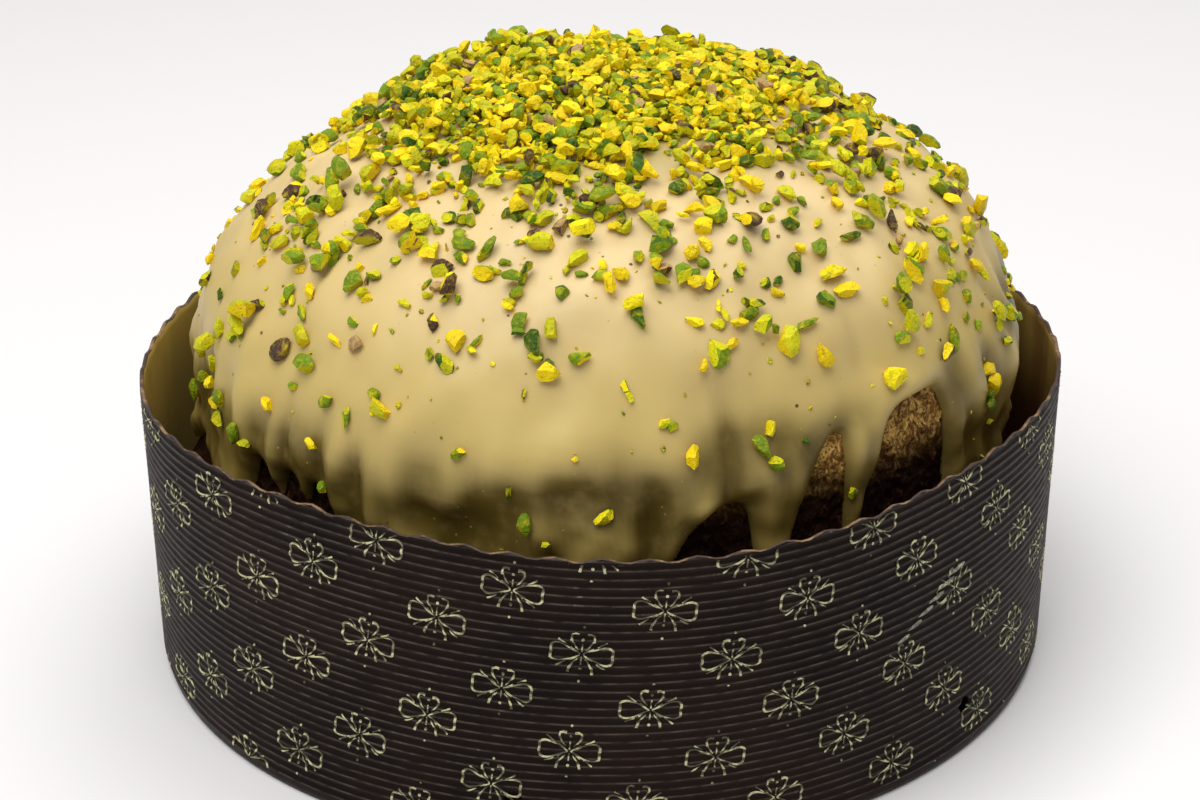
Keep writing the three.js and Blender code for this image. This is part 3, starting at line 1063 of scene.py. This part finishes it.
def glaze_relief(spot):
    """Lumps and faint runs of the glaze at a place: slow swells, and upright ones further down."""
    azimuth = math.degrees(math.atan2(spot[0], -spot[1]))
    place = Vector(spot)
    slow = noise.noise(place / (17 * MM)) * 1.9 * MM
    small = noise.noise(place / (8 * MM) + Vector((7, 3, 1))) * 1.0 * MM
    runs = noise.noise(Vector((spot[0], spot[1], 0.20 * spot[2])) / (7.5 * MM)) * 1.2 * MM
    runs += noise.noise(Vector((spot[0], spot[1], 0.15 * spot[2])) / (4.2 * MM)) * 0.8 * MM
    low = min(max((92 * MM - spot[2]) / (22 * MM), 0), 1)
    lumps = noise.noise(place / (5 * MM) + Vector((2, 9, 4))) * 0.9 * MM
    return slow + small + (runs + lumps) * low + hump_at(azimuth, spot[2])


def crust(loaf):
    """Baked crust: pale torn fibres over dark pores, the dark partly baked colour and partly painted
    shade; painted shade makes it near black lower down, towards the paper.
    """
    paint = Paint("crust", roughness=0.62, specular=0.14)
    flattened = (1, 1, 0.8)
    fibre = paint.noise(430, 6, 0.74, 1.1, stretch=flattened)
    pore = paint.cells(1100, stretch=flattened)
    # Light on the raised fibres and dark in the pores and hollows: the crust's own colour, with
    # painted shade in the hollows.
    torn = paint.times(paint.ranged(fibre, 0.42, 0.66), paint.ranged(pore, 0.1, 0.45))
    blotch = paint.ranged(paint.noise(90), 0.35, 0.65)
    baked = paint.mix(torn, paint.mix(blotch, loaf.dark, (0.20, 0.085, 0.016)), loaf.light)
    # Painted shade: near black low down where the crust sinks into the gap by the mould, with a few
    # dark brown fibres.
    fibre_in_shade = paint.ranged(fibre, 0.54, 0.68)
    shaded_crust = paint.mix(fibre_in_shade, (0.012, 0.003, 0.001), (0.10, 0.036, 0.006))
    above = paint.ranged(paint.along("Z"), 66 * MM, 79 * MM)
    paint.link(paint.mix(above, shaded_crust, baked), "Base Color")
    paint.link(paint.ranged(fibre, 0.3, 0.7, 0.5, 0.8), "Roughness")
    paint.bump(paint.plus(fibre, pore), 0.35 * MM, 0.8)
    return paint.material


def glaze_paint(glaze):
    """Satin cream glaze with painted light and shade: lighter on top and darker down the sides,
    painted shade in the hollows, low down by the mould wall and under the crown's chips, lighter on
    the humps; a cloudy tone and fine dark and yellow specks of nut.
    """
    paint = Paint("glaze", roughness=0.42, specular=0.30)
    cloud = paint.noise(110, 4)
    # Painted light and shade: lighter on top, darker down the sides and towards the lower edge.
    height = paint.plus(paint.along("Z"), paint.times(paint.noise(38, 3, 0.5), 16 * MM))
    tint = paint.mix(paint.ranged(height, 96 * MM, 132 * MM), glaze.deep, glaze.light)
    tint = paint.mix(paint.ranged(height, 70 * MM, 104 * MM), glaze.low, tint)
    uneven = paint.times(paint.math("SUBTRACT", cloud, 0.5), 0.5)
    # Painted shade, read from each vertex and clouded a little.
    clouded = paint.times(paint.attribute("painted_shade", "Fac"), paint.plus(uneven, 1.0))
    tint = paint.mix(paint.ranged(clouded, 0.0, 1.0), tint, glaze.shadowed)
    # Painted shade: the glaze goes dark under the crown's heaped chips.
    crown = paint.ranged(paint.along("Z"), 122 * MM, 131 * MM, 0.0, 0.8)
    tint = paint.mix(crown, tint, (0.26, 0.21, 0.02))
    tint = paint.mix(paint.ranged(cloud, 0.45, 0.75, 0.0, 0.25), tint, (0.60, 0.44, 0.17))
    pick = paint.noise(60, 2, 0.5)
    dots = paint.ranged(paint.cells(170), 0.05, 0.085, 1.0, 0.0)
    dark = paint.times(dots, paint.ranged(pick, 0.50, 0.56))
    tint = paint.mix(dark, tint, (0.10, 0.055, 0.02))
    grains = paint.ranged(paint.cells(330), 0.05, 0.10, 0.7, 0.0)
    fine = paint.times(grains, paint.ranged(pick, 0.52, 0.44))
    paint.link(paint.mix(fine, tint, (0.45, 0.36, 0.06)), "Base Color")
    paint.link(paint.ranged(cloud, 0.3, 0.7, 0.36, 0.50), "Roughness")
    pits = paint.times(paint.ranged(paint.cells(240), 0.0, 0.12), 0.25)
    paint.bump(paint.plus(pits, paint.noise(300, 3, 0.5)), 0.10 * MM, 0.35)
    return paint.material


class PANETTONE_OT_loaf(bpy.types.Operator):
    """Bakes the loaf: a fine skin with a wrinkled, porous crust where the glaze leaves it bare"""

    bl_idname = "panettone.loaf"
    bl_label = "Loaf"

    def execute(self, context):
        settings = context.scene.panettone_loaf
        edge = GlazeEdge(context.scene.panettone_glaze.edge)
        loaf = smooth_loaf("loaf_crust")
        middles = centres(loaf)
        bare = (edge.distances(middles) < 2 * MM) & (middles[:, 2] > 55 * MM)
        with editing(loaf, "FACE", bare):
            bpy.ops.mesh.subdivide(number_cuts=3, smoothness=0)
        height = places(loaf)[:, 2]
        open_zone = np.clip((height - 40 * MM) / (12 * MM), 0, 1)
        weigh(loaf, "bare", open_zone * np.clip((96 * MM - height) / (8 * MM), 0, 1))
        wrinkles = bpy.data.textures.new("wrinkles", "MUSGRAVE")
        wrinkles.musgrave_type = "RIDGED_MULTIFRACTAL"
        pores = bpy.data.textures.new("pores", "VORONOI")
        for texture, size, depth in (
            (wrinkles, 3.2 * MM, settings.wrinkle),
            (pores, 1.3 * MM, settings.pore),
        ):
            texture.noise_scale = size
            given = {"texture": texture, "texture_coords": "LOCAL", "vertex_group": "bare"}
            modify(loaf, "DISPLACE", strength=depth, mid_level=1.0, **given)
        loaf.vertex_groups.clear()
        spots = places(loaf)
        held = np.clip((60 * MM - spots[:, 2]) / (25 * MM), 0, 1)
        give = sway(np.degrees(turns(spots)), spots[:, 2]) * held / MOULD_RADIUS
        spots[:, :2] *= 1 + give[:, None]
        set_places(loaf, spots)
        coated(loaf, crust(settings))
        finished(loaf, "crust", "loaf")
        return {"FINISHED"}


class PANETTONE_OT_glaze(bpy.types.Operator):
    """Pours the glaze: a thick skin over the dome with rounded lips, runs and partings"""

    bl_idname = "panettone.glaze"
    bl_label = "Glaze"

    def execute(self, context):
        settings = context.scene.panettone_glaze
        edge = GlazeEdge(settings.edge)
        glaze = smooth_loaf("glaze_coat")
        tree = BVHTree.FromObject(glaze, context.evaluated_depsgraph_get())
        cell = 2.0 * MM  # about one face of the skin
        with editing(glaze, "FACE", edge.distances(centres(glaze)) < -0.2 * cell):
            bpy.ops.mesh.delete(type="FACE")
        spots = places(glaze)
        for index in open_border(glaze.data):
            spots[index] = edge.snapped(spots[index], 2 * cell)
        set_places(glaze, spots)
        spots = places(glaze)
        for index in np.flatnonzero(spots[:, 2] < 90 * MM):
            spots[index] = tree.find_nearest(Vector(spots[index]))[0]
        set_places(glaze, spots)
        modify(glaze, "SOLIDIFY", thickness=0.6 * MM, offset=-1.0)
        near = edge.distances(centres(glaze)) < 1.7 * settings.lip
        with editing(glaze, "FACE", self.outer_faces(glaze, tree) & near):
            bpy.ops.mesh.subdivide(number_cuts=2, smoothness=0)
        self.thicken(glaze, edge, settings)
        coated(glaze, glaze_paint(settings))
        finished(glaze, "glaze", "glaze")
        return {"FINISHED"}

    @staticmethod
    def outer_faces(glaze, tree):
        """Which faces lie on the crust's surface, and not under it or on the border."""
        result = []
        for polygon in glaze.data.polygons:
            _, normal, _, away = tree.find_nearest(polygon.center)
            result.append(away < 0.25 * MM and polygon.normal.dot(normal) > 0.5)
        return np.array(result)

    @staticmethod
    def thicken(glaze, edge, settings):
        """Raises the outer side: rounded up from the edge, then as thick as the glaze lay."""
        spots = places(glaze)
        outward = unit(spots - np.array(CORE))
        facing = (rows(glaze.data.vertices, "normal") * outward).sum(1) > 0.25
        relief = np.array([glaze_relief(spot) for spot in spots])
        rise = np.zeros(len(spots))
        for index in np.flatnonzero(facing):
            spot = spots[index]
            away = FAR if spot[2] > EDGE_ABOVE else max(edge.nearest(spot)[0], 0)
            t = min(away / settings.lip, 1)
            lip = math.sqrt(max(1 - (1 - t) ** 2, 0))
            swollen = 1 + 0.08 * math.exp(-((away - settings.lip) / (2.2 * MM)) ** 2)
            rise[index] = max(settings.thickness * swollen + relief[index], 0.8 * MM) * lip
        # Painted shade: dark low down, up to a height that changes round the loaf with the mould
        # wall's shadow, and in the relief's hollows; painted highlight lightens the humps.
        azimuth = turns(spots)
        level = (80 + 7 * np.sin(azimuth + 0.35) + 1.5 * np.sin(5 * azimuth)) * MM
        low = np.clip((level + 8 * MM - spots[:, 2]) / (15 * MM), 0, 1)
        low = low * low * (3 - 2 * low)
        shade = np.clip(0.74 * low - relief / (3.4 * MM) * (0.34 + 0.66 * low), 0, 0.98)
        painted_shade = glaze.data.attributes.new("painted_shade", "FLOAT", "POINT")
        painted_shade.data.foreach_set("value", shade.astype(np.float32))
        most = 8 * MM  # the displacement at full weight
        weigh(glaze, "rise", rise / most)
        modify(glaze, "DISPLACE", strength=most, mid_level=0.0, vertex_group="rise")
        glaze.vertex_groups.clear()


# ---- Chopped pistachios ----

CHIP_SHAPES, CRUMB_SHAPES = 24, 5
GIRTH = 0.36  # a chip's radius as a share of its length
SMALLEST_IN_WAY = 1.6 * MM  # shorter ones don't hold others up
HIGHEST_HEAP = 2.6 * MM
ROOMY = 8 * MM  # room counts up to this
OUTSIDE = 200 * MM  # this far from the core is well outside the glaze

# How thickly the chips lie: the distance across from the axis in millimetres, and the share.
STREWN = [(0, 1), (36, 1), (44, 0.42), (51, 0.15), (58, 0.085), (66, 0.05), (78, 0.035), (88, 0.012)]

# Where they drifted together or were shaken off: azimuth, distance across, reach, times as many.
DRIFTS = [
    (-58, 66, 12, 2.2),
    (-44, 60, 10, 1.8),
    (-30, 65, 7, 0.5),
    (-78, 60, 13, 0.35),
    (-86, 82, 16, 0.3),
    (-45, 73, 8, 0.45),
    (-28, 78, 8, 2.2),
    (0, 58, 8, 1.8),
    (0, 77, 6, 1.5),
    (-2, 86, 10, 0.3),
    (15, 43, 5, 2.2),
    (15, 52, 5, 0.5),
    (15, 60, 5, 1.8),
    (15, 72, 6, 1.6),
    (30, 55, 10, 0.35),
    (-90, 54, 10, 0.5),
    (30, 37, 7, 0.4),
    (30, 66, 7, 0.4),
    (58, 45, 8, 0.4),
    (47, 66, 7, 0.35),
    (60, 54, 7, 0.5),
    (80, 62, 14, 1.5),
    (62, 60, 8, 0.6),
    (64, 84, 10, 2.0),
    (150, 60, 16, 1.6),
    (-150, 64, 14, 1.5),
    (118, 70, 12, 0.6),
]

# Chips that slid down and stuck: azimuth, height and length in millimetres.
CAUGHT = [
    (-69, 84, 5.2),
    (-67.5, 80, 4.4),
    (-66, 76, 5.0),
    (-64.5, 73, 4.6),
    (-62, 70.5, 4.2),
    (-56, 71.5, 4.8),
    (-54.5, 69.8, 3.4),
    (34.6, 68.8, 4.4),
    (-7, 66.2, 2.2),
    (62, 74, 4.4),
    (66, 79, 5.0),
    (72, 82, 4.2),
    (78, 85, 4.6),
    (84, 79, 4.0),
    (150, 82, 4.6),
    (-128, 72, 4.4),
    (171, 69, 4.8),
]


def lump(name, fineness, radius, shape, **rough):
    """A round start for a chip, flattened and made uneven."""
    deselect_all()
    bpy.ops.mesh.primitive_ico_sphere_add(subdivisions=fineness, radius=radius)
    piece = named(name)
    with editing(piece):
        bpy.ops.transform.resize(value=shape)
        bpy.ops.transform.vertex_random(**rough)
    return piece


def mark_cut(piece, cut):
    """Says how far each face is cut flesh, and not the kernel's outside."""
    attribute = piece.data.attributes.new("cut", "FLOAT", "FACE")
    attribute.data.foreach_set("value", np.array(cut, np.float32))


def chip_shape(index, draw):
    """A chopped chip one unit long: a kernel with knife cuts and breaks, its cut faces marked."""
    slender = index % 4 == 0
    wide = draw.uniform(0.30, 0.48) if slender else draw.uniform(0.45, 0.85)
    tall = draw.uniform(0.28, 0.40) if slender else draw.uniform(0.34, 0.60)
    rough = {"offset": 0.05, "uniform": 0.7, "normal": 0.3, "seed": index}
    chip = lump(f"chip_{index}", 2, 0.56, (1, wide, tall), **rough)
    cuts = []
    for _ in range(draw.choice((3, 4, 4, 5))):
        toward = Vector((draw.gauss(0, 1), draw.gauss(0, 1), draw.gauss(0, 0.8))).normalized()
        reach = Vector((toward.x * 0.5, toward.y * 0.5 * wide, toward.z * 0.5 * tall)).length
        cuts.append((toward * reach * draw.uniform(0.35, 0.80), toward))
    for place, outward in cuts:
        with editing(chip):
            bpy.ops.mesh.bisect(plane_co=place, plane_no=outward, clear_outer=True, use_fill=True)
    flesh = [
        any(abs((face.center - p).dot(n)) < 1e-4 and abs(face.normal.dot(n)) > 0.99 for p, n in cuts)
        for face in chip.data.polygons
    ]
    mark_cut(chip, flesh)
    with editing(chip, "FACE", flesh):
        bpy.ops.mesh.poke(offset=draw.uniform(-0.05, 0.03))
    with editing(chip):
        bpy.ops.mesh.remove_doubles(threshold=0.05)
        bpy.ops.mesh.normals_make_consistent(inside=False)
    bpy.ops.object.shade_smooth_by_angle(angle=math.radians(30))
    return chip


def crumb_shape(index, draw):
    """A tiny crumb one unit long."""
    rough = {"offset": 0.12, "uniform": 0.5, "normal": 0.5, "seed": index}
    shape = (1, draw.uniform(0.5, 0.9), draw.uniform(0.4, 0.7))
    crumb = lump(f"crumb_{index}", 1, 0.5, shape, **rough)
    mark_cut(crumb, [draw.random() for _ in crumb.data.polygons])
    return crumb


def chip_colors(nuts, draw, across):
    """A chip's two colours, its cut flesh and its outside: fewer plain yellow ones off the crown."""
    kind = draw.random()
    if across > 44 * MM:
        kind = 0.30 + 0.70 * kind
    if kind < 0.48:
        return nuts.yellow, draw.choice((nuts.lime, nuts.yellow, nuts.yellow))
    if kind < 0.70:
        return draw.choice((nuts.yellow, nuts.lime)), draw.choice((nuts.lime, nuts.green))
    if kind < 0.80:
        return nuts.lime, nuts.green
    if kind < 0.91:
        return draw.choice((nuts.lime, nuts.green)), nuts.dark
    if kind < 0.975:
        return draw.choice((nuts.lime, nuts.yellow)), nuts.skin
    return nuts.pale, draw.choice((nuts.pale, nuts.skin))


def painted(piece, nuts, draw, across):
    """Gives each corner of the chip the colour of its face, as an attribute."""
    flesh, outside = (np.array(c[:]) for c in chip_colors(nuts, draw, across))
    shade = draw.uniform(0.80, 1.15)
    mesh = piece.data
    cut = np.zeros(len(mesh.polygons), np.float32)
    mesh.attributes["cut"].data.foreach_get("value", cut)
    corners = np.repeat(cut, [polygon.loop_total for polygon in mesh.polygons])[:, None]
    shades = np.clip((outside + (flesh - outside) * corners) * shade, 0, 1)
    full = np.concatenate([shades, np.ones((len(shades), 1))], 1).astype(np.float32)
    mesh.attributes.new("flesh", "FLOAT_COLOR", "CORNER").data.foreach_set("color", full.ravel())


def thickly_strewn(spot, azimuth):
    """How thickly the chips lie at a place, from 0 to 1."""
    across = math.hypot(spot.x, spot.y) / MM
    share = STREWN[-1][1]
    for (near, a), (far, b) in zip(STREWN, STREWN[1:]):
        if near <= across < far:
            share = a + (b - a) * (across - near) / (far - near)
            break
    here = around(azimuth, across, 0)
    for middle, out, reach, times in DRIFTS:
        away = around(middle, out, 0) - here
        share *= times ** math.exp(-(away.length / reach) ** 2)
    height = spot.z / MM
    share *= 0.12 + 0.88 * min(max((height - 72) / 22, 0), 1)
    patch = noise.noise(spot / (7 * MM)) + 0.6 * noise.noise(spot / (3.5 * MM))
    clump = 1 if across < 34 else max(1 + 1.9 * patch, 0.05)
    return min(share * clump, 1)


def kernel_flesh():
    """Chopped kernels: the face's own colour, broken by yellow and green veins, with painted shade in
    the creases of the grain, half glossy.
    """
    paint = Paint("pistachio", roughness=0.4, specular=0.22)
    vein = paint.noise(430, 4, 0.6, 0.8)
    grain = paint.noise(820, 4, 0.65, 0.4)
    fleck = paint.noise(1700)
    flesh = paint.attribute("flesh")
    ripe = paint.mix(paint.ranged(vein, 0.45, 0.75, 0.0, 0.45), flesh, (1.0, 0.74, 0.003))
    unripe = paint.mix(paint.ranged(vein, 0.44, 0.26, 0.0, 0.6), ripe, (0.22, 0.28, 0.003))
    # Painted shade: darker in the creases of the grain.
    crease = paint.times(paint.ranged(grain, 0.42, 0.32), 0.6)
    creased = paint.mix(crease, unripe, (0.10, 0.11, 0.003))
    light = paint.ranged(fleck, 0.62, 0.72, 0.0, 0.3)
    paint.link(paint.mix(light, creased, (0.95, 0.85, 0.14)), "Base Color")
    paint.link(paint.ranged(grain, 0.3, 0.7, 0.22, 0.42), "Roughness")
    paint.bump(paint.plus(grain, paint.times(fleck, 0.6)), 0.60 * MM, 1.0)
    return paint.material


def cell(spot):
    """The key of the box of space that a place is in."""
    side = 6 * MM
    return tuple(int(c // side) for c in spot)


class PANETTONE_OT_nuts(bpy.types.Operator):
    """Strews the chopped pistachios over the glaze"""

    bl_idname = "panettone.nuts"
    bl_label = "Chopped pistachios"

    def execute(self, context):
        self.nuts = context.scene.panettone_nuts
        self.dice = random.Random(self.nuts.seed)
        glaze = bpy.data.objects["glaze_coat"]
        self.tree = BVHTree.FromObject(glaze, context.evaluated_depsgraph_get())
        self.taken = {}
        self.shapes = [chip_shape(i, self.dice) for i in range(CHIP_SHAPES)]
        crumbs = [crumb_shape(i, self.dice) for i in range(CRUMB_SHAPES)]
        large = self.large() + self.caught()
        chips = self.strewn(self.shapes, self.nuts.amount, 2.0 * MM, 5.0 * MM)
        dust = self.strewn(crumbs, self.nuts.crumbs, 0.6 * MM, 1.4 * MM)
        for shape in (*self.shapes, *crumbs):
            bpy.data.objects.remove(shape)
        groups = {"pistachio_crown": [], "pistachio_shoulder": [], "pistachio_side": []}
        for chip, spot in chips:
            across = math.hypot(spot.x, spot.y) / MM
            region = "crown" if across < 32 else "shoulder" if across < 50 else "side"
            groups["pistachio_" + region].append(chip)
        groups["pistachio_large"] = large
        groups["pistachio_crumbs"] = [crumb for crumb, _ in dust]
        flesh = kernel_flesh()
        for name, group in groups.items():
            piece = joined(group, name)
            coated(piece, flesh)
            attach(piece, BODY)
            if name == "pistachio_large":
                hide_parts(*CAD_NUTS)
        return {"FINISHED"}

    def ground(self, outward):
        """Where a line towards the core meets the glaze, and the surface's direction there."""
        return self.tree.ray_cast(CORE + outward * OUTSIDE, -outward)[:2]

    def near(self, spot):
        """How far away each chip near a place lies, how wide it is and how high its top is."""
        for key in itertools.product(*(range(c - 1, c + 2) for c in cell(spot))):
            for other, radius, top in self.taken.get(key, ()):
                yield (other - spot).length, radius, top

    def room(self, spot):
        """How far the nearest chip lies away."""
        return min([gap - radius for gap, radius, _ in self.near(spot)] + [ROOMY])

    def lift(self, spot, radius):
        """How far a chip is held up by those that already lie there."""
        most = 0.0
        for gap, other, top in self.near(spot):
            if gap < radius + other:
                most = max(most, top * (1 - (gap / (radius + other)) ** 2))
        return most

    def laid(self, shape, spot, normal, size, lift=0.0):
        """A copy of a shape laid on the glaze, mostly flat, or leaning where it lies on others."""
        lean = self.dice.gauss(0, 14 if lift == 0 else 30)
        turn = Matrix.Rotation(math.radians(lean), 4, "X")
        turn = turn @ Matrix.Rotation(self.dice.uniform(0, 2 * math.pi), 4, "Z")
        if self.dice.random() < 0.5:
            turn = turn @ Matrix.Rotation(math.pi, 4, "X")
        heights = [(turn @ Vector(corner)).z * size for corner in shape.bound_box]
        tall = max(heights) - min(heights)
        middle = Matrix.Translation(spot + normal * (lift + 0.30 * tall))
        stand = normal.to_track_quat("Z", "Y").to_matrix().to_4x4()
        chip = placed_copy(shape, middle @ stand @ turn @ Matrix.Scale(size, 4))
        painted(chip, self.nuts, self.dice, math.hypot(spot.x, spot.y))
        if size > SMALLEST_IN_WAY:
            taken = (spot, GIRTH * size, lift + 0.5 * tall)
            self.taken.setdefault(cell(spot), []).append(taken)
        return chip

    def large(self):
        """The largest chips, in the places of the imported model's own."""
        pieces = []
        for node in CAD_NUTS:
            low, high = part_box(node)
            spot, normal = self.ground(((low + high) / 2 - CORE).normalized())
            size = 1.02 * max(high - low)
            pieces.append(self.laid(self.dice.choice(self.shapes), spot, normal, size))
        return pieces

    def caught(self):
        """Chips that slid down and stuck near the lower edge."""
        pieces = []
        for azimuth, height, size in CAUGHT:
            outward = (around(azimuth, DOME_RADIUS, height * MM) - CORE).normalized()
            spot, normal = self.ground(outward)
            pieces.append(self.laid(self.dice.choice(self.shapes), spot, normal, size * MM))
        return pieces

    def strewn(self, shapes, amount, smallest, largest):
        """Copies of the shapes, dropped one by one, each where there is the most room of three."""
        coarse = largest > 2 * MM
        result = []
        while len(result) < amount:
            tries = [self.candidate() for _ in range(3)]
            spot, normal = max(tries, key=lambda place: self.room(place[0]))
            size = smallest + (largest - smallest) * self.dice.random() ** 1.8
            if coarse:
                across = math.hypot(spot.x, spot.y) / MM
                size *= 1 + 0.35 * min(max((across - 42) / 16, 0), 1)
            lift = self.lift(spot, GIRTH * size)
            if lift > HIGHEST_HEAP or (lift > 0 and not coarse):
                continue
            chip = self.laid(self.dice.choice(shapes), spot, normal, size, lift)
            result.append((chip, spot))
        return result

    def candidate(self):
        """A place on the glaze, drawn by how thickly the chips lie there."""
        while True:
            up = self.dice.uniform(-0.02, 1)
            azimuth = self.dice.uniform(-180, 180)
            outward = around(azimuth, math.sqrt(max(1 - up * up, 0)), up)
            spot, normal = self.ground(outward)
            if spot is None or normal.z < -0.25:
                continue
            if self.dice.random() < thickly_strewn(spot, azimuth):
                return spot, normal


# ---- Stage ----


def aim_at(piece, way):
    """Turns a lamp or the camera to look along a direction."""
    piece.rotation_euler = way.to_track_quat("-Z", "Y").to_euler()


class PANETTONE_OT_stage(bpy.types.Operator):
    """Sets a plain pale floor, soft studio light and the camera"""

    bl_idname = "panettone.stage"
    bl_label = "Stage"

    def execute(self, context):
        stage = context.scene.panettone_stage
        self.floor(stage)
        self.lights(context.scene)
        self.camera(context.scene, stage)
        return {"FINISHED"}

    @staticmethod
    def floor(stage):
        deselect_all()
        bpy.ops.mesh.primitive_circle_add(vertices=64, radius=6, fill_type="NGON")
        floor = named("floor")
        paint = Paint("floor_paper", roughness=0.6)
        grain = paint.noise(3, 2, 0.5)
        paint.link(paint.mix(grain, stage.floor, [0.99 * c for c in stage.floor]), "Base Color")
        coated(floor, paint.material)

    @staticmethod
    def lights(scene):
        world = bpy.data.worlds.new("soft_white_room")
        world.use_nodes = True
        background = world.node_tree.nodes["Background"]
        background.inputs["Color"].default_value = (1.0, 0.98, 0.96, 1)
        background.inputs["Strength"].default_value = 0.34
        scene.world = world
        for name, place, power in (
            ("softbox_front", (-0.32, -0.36, 1.17), 13.9),
            ("softbox_behind", (0.27, 0.40, 1.12), 7.0),
        ):
            deselect_all()
            bpy.ops.object.light_add(type="AREA", location=place)
            lamp = named(name)
            lamp.data.size = 1.0
            lamp.data.energy = power
            aim_at(lamp, Vector((0, 0, 80 * MM)) - Vector(place))
        scene.view_settings.view_transform = "Standard"

    @staticmethod
    def camera(scene, stage):
        a = stage.elevation
        aim = Vector((-0.4 * MM, 0, stage.aim_height))
        away = Vector((0, -math.cos(a), math.sin(a))) * stage.distance
        deselect_all()
        bpy.ops.object.camera_add(location=aim + away)
        camera = named("camera")
        camera.data.lens = stage.lens
        camera.data.sensor_width = 36
        camera.data.clip_start = 10 * MM
        aim_at(camera, -away)
        scene.camera = camera


class PANETTONE_PT_panel(bpy.types.Panel):
    """Every step of the panettone, in order"""

    bl_label = "Panettone"
    bl_idname = "PANETTONE_PT_panel"
    bl_space_type = "VIEW_3D"
    bl_region_type = "UI"
    bl_category = "Panettone"

    def draw(self, context):
        for operator in OPERATORS:
            self.layout.operator(operator.bl_idname)


OPERATORS = (
    PANETTONE_OT_stage,
    PANETTONE_OT_mould_wall,
    PANETTONE_OT_mould_lap,
    PANETTONE_OT_mould_base,
    PANETTONE_OT_print,
    PANETTONE_OT_scuff,
    PANETTONE_OT_loaf,
    PANETTONE_OT_glaze,
    PANETTONE_OT_nuts,
)


def register():
    for group in (*SETTINGS.values(), *OPERATORS, PANETTONE_PT_panel):
        bpy.utils.register_class(group)
    for name, group in SETTINGS.items():
        setattr(bpy.types.Scene, name, bpy.props.PointerProperty(type=group))


def unregister():
    for name in SETTINGS:
        delattr(bpy.types.Scene, name)
    for group in (*SETTINGS.values(), *OPERATORS, PANETTONE_PT_panel):
        bpy.utils.unregister_class(group)


def main():
    register()
    for operator in OPERATORS:
        group, name = operator.bl_idname.split(".")
        getattr(getattr(bpy.ops, group), name)()


if __name__ == "__main__":
    main()
